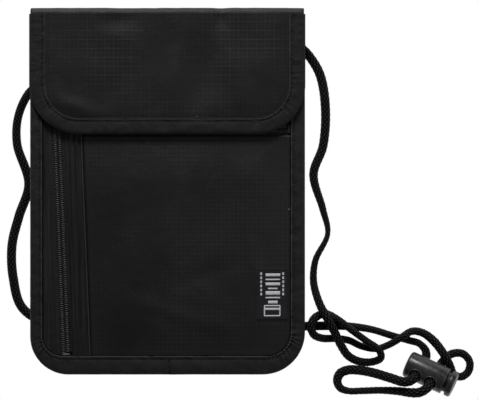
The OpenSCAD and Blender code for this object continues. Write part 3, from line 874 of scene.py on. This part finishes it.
make_flap()
cloth("flap_lining_cloth", side_limits(flap_line(3, PAST_FOLD)), (FLAP_EDGE + 3.1, HINGE_Y - 4),
      lambda x, y: FLAP_LINING_Z + 0.06 * waves(x, y, 12, 36), 0.25,
      lining, "flap", "lining", "flap_lining")
inner_seam = flap_line(10.2, HINGE_Y - 1)
seam_z = FOLD_HIGH + 0.02 + flap_wrinkles(inner_seam[:, 0], inner_seam[:, 1])
yarn_line("flap_inner_seam", inner_seam, seam_z, 0.13, stitch_yarn, "flap", "ripstop")


def touch_pad(name, node, facing, body, tip):
    """A strip of touch fastener: a woven base covered in small hooks or loops."""
    low, high = node_box(node)
    base_low, base_high = (low[2], high[2] - tip) if facing > 0 else (low[2] + tip, high[2])
    xs, ys = np.meshgrid(np.linspace(low[0], high[0], 40), np.linspace(low[1], high[1], 13))
    rim = smoothstep(0, 1.2, xs - low[0]) * smoothstep(0, 1.2, high[0] - xs)
    rim = rim * smoothstep(0, 1.2, ys - low[1]) * smoothstep(0, 1.2, high[1] - ys)
    face = np.stack([xs, ys, (base_high if facing > 0 else base_low) - facing * 0.2 * (1 - rim)], -1)
    back = np.stack([xs, ys, np.full_like(xs, base_low if facing > 0 else base_high)], -1)
    parts = [shell(face, back) if facing > 0 else shell(back, face)]
    for i, x in enumerate(np.arange(low[0] + 1, high[0] - 0.6, 1.15)):
        for y in np.arange(low[1] + 0.9 + 0.5 * (i % 2), high[1] - 0.7, 1.15):
            z0 = base_high - 0.1 if facing > 0 else base_low + 0.1
            lean = 0.25 * waves(x, y, 1.7, 41)
            bend = (x + lean, y, z0 + facing * tip * 0.6)
            stem = np.array([(x, y, z0), bend, (x + 0.28, y + lean, z0 + facing * tip)])
            parts.append(tube(stem, np.array([0.2, 0.16, 0.22])[:, None], 5))
    make_mesh(name, *joined(parts), touch_tape, body, "touch_tape", node)


touch_pad("loop_tape", "loop_patch", 1, "pouch", 0.35)
touch_pad("hook_tape", "hook_patch", -1, "flap", 0.4)

# ---------------------------------------------------------------- sliders, pulls and stops
def rounded_plate(u0, u1, v0, v1, z0, z1, r, place, hole=None):
    """A plate with round corners and softened edges, with a round hole through it if asked."""
    arc = np.radians(np.linspace(0, 90, 7))
    corners = [(u1 - r, v1 - r, 0), (u0 + r, v1 - r, 90), (u0 + r, v0 + r, 180), (u1 - r, v0 + r, 270)]
    edge = np.vstack([np.column_stack([cu + r * np.cos(arc + math.radians(turn)),
                                       cv + r * np.sin(arc + math.radians(turn))])
                      for cu, cv, turn in corners])
    middle = np.array(hole[:2] if hole else [(u0 + u1) / 2, (v0 + v1) / 2])
    soft = min(0.16, (z1 - z0) / 3)
    shrunk = middle + (edge - middle) * (1 - soft / min(u1 - u0, v1 - v0) * 2)
    loops = [(shrunk, z0), (edge, z0 + soft), (edge, z1 - soft), (shrunk, z1)]
    if hole:
        around = np.arctan2(*(edge - middle).T[::-1])
        bore = middle + hole[2] * np.column_stack([np.cos(around), np.sin(around)])
        loops += [(bore, z1), (bore, z0)]
    rings = []
    for loop, z in loops:
        x, y = place(loop[:, 0], loop[:, 1])
        rings.append(np.column_stack([x, y, np.full(len(loop), z)]))
    cols, rows = len(edge), len(rings)
    if not hole:
        return np.vstack(rings), solid_faces(rows, cols)
    first = np.arange(cols)
    last = first + (rows - 1) * cols
    bore_faces = np.column_stack([last, np.roll(last, -1), np.roll(first, -1), first])
    return np.vstack(rings), np.vstack([strip_faces(rows, cols, True), bore_faces]).tolist()


def lathe(profile, centre, axis=(0, 0, 1), sides=28):
    """A turned solid from (distance along the axis, radius) pairs."""
    axis = np.array(axis, float) / np.linalg.norm(axis)
    side = np.cross(axis, (0, 0, 1.0) if abs(axis[2]) < 0.9 else (1.0, 0, 0))
    side /= np.linalg.norm(side)
    up = np.cross(axis, side)
    turn = turns(sides)
    ring = side[None] * np.cos(turn)[:, None] + up[None] * np.sin(turn)[:, None]
    points = np.vstack([np.array(centre) + d * axis + r * ring for d, r in profile])
    return points, solid_faces(len(profile), sides)


def slider(prefix, at, place, body, pull_body):
    """A zip slider with two wings, a nose, a bridge and a swivelling pull."""
    def here(u, v):
        return place(np.asarray(u, float), np.asarray(v, float) + at)

    wedge = [(-1.5, -3.5), (1.5, -3.5), (2.6, -2.2), (3.0, 0.6), (3.0, 2.6), (2.2, 3.5), (0.7, 3.5),
             (0, 3.1), (-0.7, 3.5), (-2.2, 3.5), (-3.0, 2.6), (-3.0, 0.6), (-2.6, -2.2), (-1.5, -3.5)]
    edge = resample(np.column_stack([np.array(wedge), np.zeros(len(wedge))]), 0.3)[:-1, :2]
    parts = []
    for z0, z1 in ((7.0, 7.35), (8.98, 9.45)):
        rings = []
        for scale, z in ((0.93, z0), (1.0, z0 + 0.12), (1.0, z1 - 0.16), (0.9, z1)):
            x, y = here(edge[:, 0] * scale, edge[:, 1] * scale)
            rings.append(np.column_stack([x, y, np.full(len(x), z)]))
        parts.append((np.vstack(rings), solid_faces(len(rings), len(edge))))
    for u in (-2.72, 2.72):
        for z0, z1 in ((8.3, 9.3), (7.1, 7.75)):
            parts.append(rounded_plate(u - 0.26, u + 0.26, -1.6, 2.9, z0, z1, 0.2, here))
    parts.append(rounded_plate(-0.07, 0.07, 0.6, 2.8, 7.1, 9.2, 0.05, here))
    x, y = here(0.0, 0.0)
    post = [(0, 1.25), (0.2, 1.0), (0.35, 0.8), (0.8, 0.8), (0.86, 1.15), (1.0, 1.3), (1.12, 1.2),
            (1.2, 0.7)]
    parts.append(lathe(post, (float(x), float(y), 9.2)))
    make_mesh(f"{prefix}_slider_casting", *joined(parts), enamel, body, "zip_metal", f"{prefix}_slider")

    z0 = node_box(f"{prefix}_pull")[0][2]
    z1 = z0 + 0.45
    tab = [rounded_plate(-2.3, 2.3, -15, 1.9, z0, z1, 1.6, here, hole=(0, 0, 0.95)),
           rounded_plate(-1.5, 1.5, -13.9, -3.2, z1 - 0.05, z1 + 0.14, 1.1, here)]
    for v in np.arange(-13, -8, 0.9):
        tab.append(rounded_plate(-1.2, 1.2, v, v + 0.35, z1 + 0.08, z1 + 0.24, 0.15, here))
    make_mesh(f"{prefix}_pull_tab", *joined(tab), enamel, pull_body, "zip_metal", f"{prefix}_pull")


def stop(name, v, place, node):
    """A moulded block across both rows of teeth, with a grip groove."""
    low_v, high_v = (v, v + 2.2) if v > 0 else (v - 2.2, v)
    parts = [rounded_plate(-2.1, 2.1, low_v, high_v, 7.4, 8.75, 0.4, place)]
    for v0 in (low_v + 0.4, low_v + 1.3):
        parts.append(rounded_plate(-1.8, 1.8, v0, v0 + 0.45, 8.6, 8.84, 0.2, place))
    make_mesh(name, *joined(parts), coil_nylon, "pouch", "zip_coil", node)


slider("side_zip", 66, in_side_zip, "side_slider", "side_pull")
slider("top_zip", 46.2, in_top_zip, "top_slider", "top_pull")
stop("side_upper_stop", SIDE_LEN / 2, in_side_zip, "side_zip_top_stop")
stop("side_lower_stop", -SIDE_LEN / 2, in_side_zip, "side_zip_bottom_stop")
stop("top_left_stop", TOP_LEN / 2, in_top_zip, "top_zip_left_stop")
stop("top_right_stop", -TOP_LEN / 2, in_top_zip, "top_zip_right_stop")


# ---------------------------------------------------------------- label
def make_label():
    """A woven label with plain bars, a row of dashes at each side and the outline of a card."""
    low, high = node_box("woven_label")
    x0, y0, x1, y1 = low[0], low[1], high[0], high[1]

    def rest(x, y):
        return np.maximum(front_height(x, y), 8.85)

    def skin(x, y):
        rim = np.minimum(np.minimum(x - x0, x1 - x), np.minimum(y - y0, y1 - y))
        return rest(x, y) + 0.38 * smoothstep(-0.1, 0.35, rim) + 0.08 * hump(rim - 0.9, 0.3)

    cloth("label_cloth", (steady(x0), steady(x1)), (y0, y1), skin, 0.36, label_cloth, "pouch", "label",
          "woven_label", None, 0.25)

    def satin(a, b, width):
        """A filled bar of parallel thread, worked across its length."""
        a, b = np.array(a, float), np.array(b, float)
        along = (b - a) / np.linalg.norm(b - a)
        across = np.array([-along[1], along[0]]) * width / 2
        runs = []
        for k, d in enumerate(np.arange(0.12, np.linalg.norm(b - a), 0.26)):
            wobble = 0.05 * math.sin(k * 2.4)
            ends = np.array([a + along * (d + wobble) - across, a + along * (d - wobble) + across])
            path = np.array([ends[0] * (1 - t) + ends[1] * t for t in (0, 0.25, 0.5, 0.75, 1)])
            z = skin(path[:, 0], path[:, 1]) + np.array([-0.06, 0.04, 0.07, 0.04, -0.06])
            runs.append(tube(np.column_stack([path, z]), 0.13, 5))
        return runs

    xm, ym = (x0 + x1) / 2, (y0 + y1) / 2
    threads = []
    bars = [(1.5, 7.6), (0.7, 7.6), (1.5, 7.6), (0.7, 5.0), (2.0, 7.6), (0.7, 7.6), (1.5, 5.0)]
    for k, (height, width) in enumerate(bars):
        y = y1 - 3.6 - 2.35 * k
        threads += satin((xm - width / 2 + 0.4, y), (xm + width / 2 + 0.4, y), height)
    for x in (x0 + 2.6, x1 - 2.6):
        for y in np.arange(ym - 0.6, y1 - 3, 2.1):
            threads += satin((x, y), (x, y + 1.4), 0.9)
    card_y = y0 + 4.9
    for rise in (-2.6, 2.6):
        threads += satin((xm - 4.2, card_y + rise), (xm + 4.2, card_y + rise), 0.6)
    for offset in (-4.0, 4.0):
        threads += satin((xm + offset, card_y - 2.6), (xm + offset, card_y + 2.6), 0.6)
    threads += satin((xm - 4.0, card_y + 0.9), (xm + 4.0, card_y + 0.9), 1.1)
    make_mesh("label_embroidery", *joined(threads), label_thread, "pouch", "label")

    left, right, bottom, top = x0 + 0.5, x1 - 0.5, y0 + 0.5, y1 - 0.5
    rim = [(left, bottom, 0), (right, bottom, 0), (right, top, 0), (left, top, 0), (left, bottom, 0)]
    rim = resample(np.array(rim), 0.3)[:, :2]
    stitches("label_stitches", rim, skin(rim[:, 0], rim[:, 1]) + 0.06, "pouch", "label", 1.8, 1.2, 0.14)


make_label()


# ---------------------------------------------------------------- cord anchors
def anchor(name, node):
    """A folded tab of tape round the cord's end, with bar tacks across it."""
    low, high = node_box(node)
    middle = (low + high) / 2
    half = (high - low) / 2
    rows, sides = 24, 32
    turn = turns(sides)
    box_x = np.sign(np.cos(turn)) * np.abs(np.cos(turn)) ** 0.35 * half[0]
    box_z = np.sign(np.sin(turn)) * np.abs(np.sin(turn)) ** 0.45 * half[2]
    rings = []
    for v in np.linspace(-1, 1, rows):
        swell = 1 - 0.06 * abs(v) ** 6 + 0.025 * math.sin(v * 11)
        rings.append(np.column_stack([middle[0] + box_x * swell, np.full(sides, middle[1] + v * half[1]),
                                      middle[2] + box_z * (1 - 0.16 * abs(v) ** 8)]))
    faces = solid_faces(rows, sides)
    make_mesh(name, np.vstack(rings), faces, binding, "pouch", "binding", node)
    tacks = []
    for y in (low[1] + 1.2, high[1] - 1.2):
        for x in np.arange(low[0] + 0.6, high[0] - 0.4, 0.42):
            ends_z = low[2] + 0.1
            path = [(x, y - 0.6, ends_z), (x + 0.1, y, low[2] - 0.08), (x, y + 0.6, ends_z)]
            tacks.append(tube(np.array(path), 0.17, 5))
    make_mesh(f"{name}_tacks", *joined(tacks), stitch_yarn, "pouch", "binding")


anchor("left_cord_tab", "cord_anchor_left")
anchor("right_cord_tab", "cord_anchor_right")


# ---------------------------------------------------------------- cord lock
LOCK_AT = np.array([124.2, -89, 8.4])
LOCK_RISE, LOCK_TURN = np.radians([15, -24.335])
LOCK_U = np.array([math.cos(LOCK_RISE) * math.cos(LOCK_TURN),
                   math.cos(LOCK_RISE) * math.sin(LOCK_TURN), math.sin(LOCK_RISE)])
LOCK_H = np.array([-0.4295, -0.4352, 0.791])
LOCK_H = LOCK_H - (LOCK_H @ LOCK_U) * LOCK_U
LOCK_H /= np.linalg.norm(LOCK_H)
LOCK_S = np.cross(LOCK_U, LOCK_H)
LOCK_R = 7.0
LOCK_HOLES = (6.8, 15.2)
HOLE_R = 3.1
PRESS_ROOM = 1.2
BUTTON_START = 23.29


def in_lock(along, around, radius):
    """A point of the lock: so far along its axis, turned so far from its holes, at this radius."""
    along, around, radius = np.broadcast_arrays(along, around, radius)
    return (LOCK_AT + along[..., None] * LOCK_U + (radius * np.cos(around))[..., None] * LOCK_H
            + (radius * np.sin(around))[..., None] * LOCK_S)


def turned(profile, sides=56):
    """A turned solid on the lock's axis."""
    profile = np.array(profile, float)
    points = in_lock(profile[:, :1], turns(sides)[None, :], profile[:, 1:])
    return points.reshape(-1, 3), solid_faces(len(profile), sides)


def cut(piece, tools):
    """Cuts the tool pieces out of a piece, keeps its hard edges crisp and removes the tools."""
    for tool in tools:
        step = piece.modifiers.new("cut", "BOOLEAN")
        step.object = tool
        step.solver = "EXACT"
    done = piece.evaluated_get(bpy.context.evaluated_depsgraph_get())
    data = bpy.data.meshes.new_from_object(done)
    piece.modifiers.clear()
    piece.data = data
    data.set_sharp_from_angle(angle=math.radians(32))
    for tool in tools:
        bpy.data.objects.remove(tool)


def hole_tool(at):
    """A cylinder along the hole direction, to cut a cord hole."""
    profile = [(-9, HOLE_R), (9, HOLE_R)]
    return make_mesh("hole_tool", *lathe(profile, LOCK_AT + at * LOCK_U, LOCK_H, 40), lock_nylon)


def slot_tool(start, end, half_width):
    """A block across the lock, from start to end along its axis."""
    corners = [(a, h, s) for a in (start, end) for h in (-9, 9) for s in (-half_width, half_width)]
    points = [LOCK_AT + a * LOCK_U + h * LOCK_H + s * LOCK_S for a, h, s in corners]
    faces = [(0, 1, 3, 2), (4, 6, 7, 5), (0, 4, 5, 1), (2, 3, 7, 6), (0, 2, 6, 4), (1, 5, 7, 3)]
    return make_mesh("slot_tool", points, faces, lock_nylon)


def finish_part(piece, body, node):
    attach(piece, body)
    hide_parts(node)




def make_lock():
    """The barrel with its two cord holes, the plunger with its button, and the spring behind it."""
    barrel = [(0, 0.05), (0, 5.5), (0.25, 6.3), (0.8, 6.8), (1.5, LOCK_R), (18.6, LOCK_R), (18.7, 6.8),
              (19.1, 6.8), (19.2, LOCK_R), (19.9, LOCK_R), (20, 6.8), (20.4, 6.8), (20.5, LOCK_R),
              (21.2, 6.95), (21.6, 6.65), (21.6, 5.5), (1.2, 5.5), (1.2, 0.05)]
    piece = make_mesh("lock_barrel_shell", *turned(barrel), lock_nylon)
    cut(piece, [hole_tool(at) for at in LOCK_HOLES])
    finish_part(piece, "pouch", "lock_barrel")

    turn = np.linspace(0, 2 * math.pi, 49)
    rim_r = HOLE_R + 0.35
    rims = []
    for at in LOCK_HOLES:
        for flip in (0, math.pi):
            around = np.arcsin(rim_r * np.sin(turn) / LOCK_R) + flip
            rim = in_lock(at + rim_r * np.cos(turn), around, np.array(LOCK_R - 0.05))
            rims.append(tube(rim, 0.42, 8))
    make_mesh("lock_hole_rims", *joined(rims), lock_nylon, "pouch", "lock_plastic")

    plunger = [(3.7, 0.05), (3.7, 5.0), (4.0, 5.3), (23.3, 5.3), (23.3, 6.3), (23.6, 6.7), (24.4, 6.8),
               (24.5, 6.6), (24.8, 6.6), (24.9, 6.8), (25.5, 6.75), (26.1, 6.4), (26.45, 5.7),
               (26.5, 4.6), (26.25, 4.2), (26.2, 0.05)]
    piece = make_mesh("lock_button", *turned(plunger), lock_nylon)
    first, second = LOCK_HOLES
    cut(piece, [slot_tool(2.7, first + HOLE_R + PRESS_ROOM, HOLE_R),
                slot_tool(second - HOLE_R, second + HOLE_R + PRESS_ROOM, HOLE_R)])
    # The plunger below the button gets the near-black plastic, so the gap by the button shows a painted
    # shadow ring.
    piece.data.materials.append(lock_painted_shade)
    for face in piece.data.polygons:
        depth = (np.array(face.center) / MM - LOCK_AT) @ LOCK_U
        face.material_index = 1 if depth < BUTTON_START else 0
    finish_part(piece, "lock_button", "lock_plunger")

    angle = np.linspace(0, 4 * math.pi, 120)
    coil_line = in_lock(1.55 + 1.8 * angle / angle[-1], angle, np.array(4.4))
    spring = make_mesh("lock_coil_spring", *tube(coil_line, 0.34, 8), spring_steel,
                       "pouch", "spring_steel", "lock_spring")
    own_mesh(spring)


make_lock()


# ---------------------------------------------------------------- loose threads
def tuft(name, x, y, z, reach, body, seed):
    """A few short fibres standing out of a seam."""
    fibres = []
    for k in range(7):
        turn = k * 2.4 + seed
        bend = np.array([math.cos(turn), math.sin(turn), 0.5]) * reach
        root = np.array([(x, y, z - 0.1), (x, y, z + 0.1), (x, y, z + 0.12)])
        fibres.append(tube(root + np.outer((0, 0.5, 1.0), bend), 0.07, 5))
    make_mesh(name, *joined(fibres), tuft_yarn, body, "binding")


tuft("flap_thread_end", 15.3, 38.6, FOLD_HIGH + 0.3, 0.3, "flap", 1)
tuft("body_thread_end", 62.8, -9.1, BODY_TAPE_TOP - 0.1, 0.35, "pouch", 4)

# ---------------------------------------------------------------- lights
world = bpy.data.worlds.new("white_room")
world.use_nodes = True
backdrop = world.node_tree.nodes["Background"]
backdrop.inputs["Color"].default_value = (1, 1, 1, 1)
backdrop.inputs["Strength"].default_value = 0.1
bpy.context.scene.world = world
bpy.context.scene.view_settings.view_transform = "Standard"


def make_floor():
    """A glowing white table, so that the ground stays pure white and no shadow shows on it."""
    half, z = 2500, -0.3
    points = [(-half, -half, z), (half, -half, z), (half, half, z), (-half, half, z)]
    glow, _, shader = new_material("white_table", grey(0), 0.9, specular=0)
    shader.inputs["Emission Color"].default_value = (1, 1, 1, 1)
    shader.inputs["Emission Strength"].default_value = 1.0
    make_mesh("white_table", points, [(0, 1, 2, 3)], glow)


make_floor()


def soft_box(name, at, towards, size, power):
    """A round soft light, in metres and watts."""
    data = bpy.data.lights.new(name, "AREA")
    data.shape = "DISK"
    data.size = size
    data.energy = power
    lamp = bpy.data.objects.new(name, data)
    lamp.location = at
    lamp.rotation_euler = (Vector(towards) - Vector(at)).to_track_quat("-Z", "Y").to_euler()
    bpy.context.collection.objects.link(lamp)


soft_box("key", (-0.14, 1.0, 0.56), (0, 0, 0), 0.4, 8.6)
soft_box("fill", (0.6, -0.1, 0.4), (0.05, 0, 0), 0.4, 0.7)
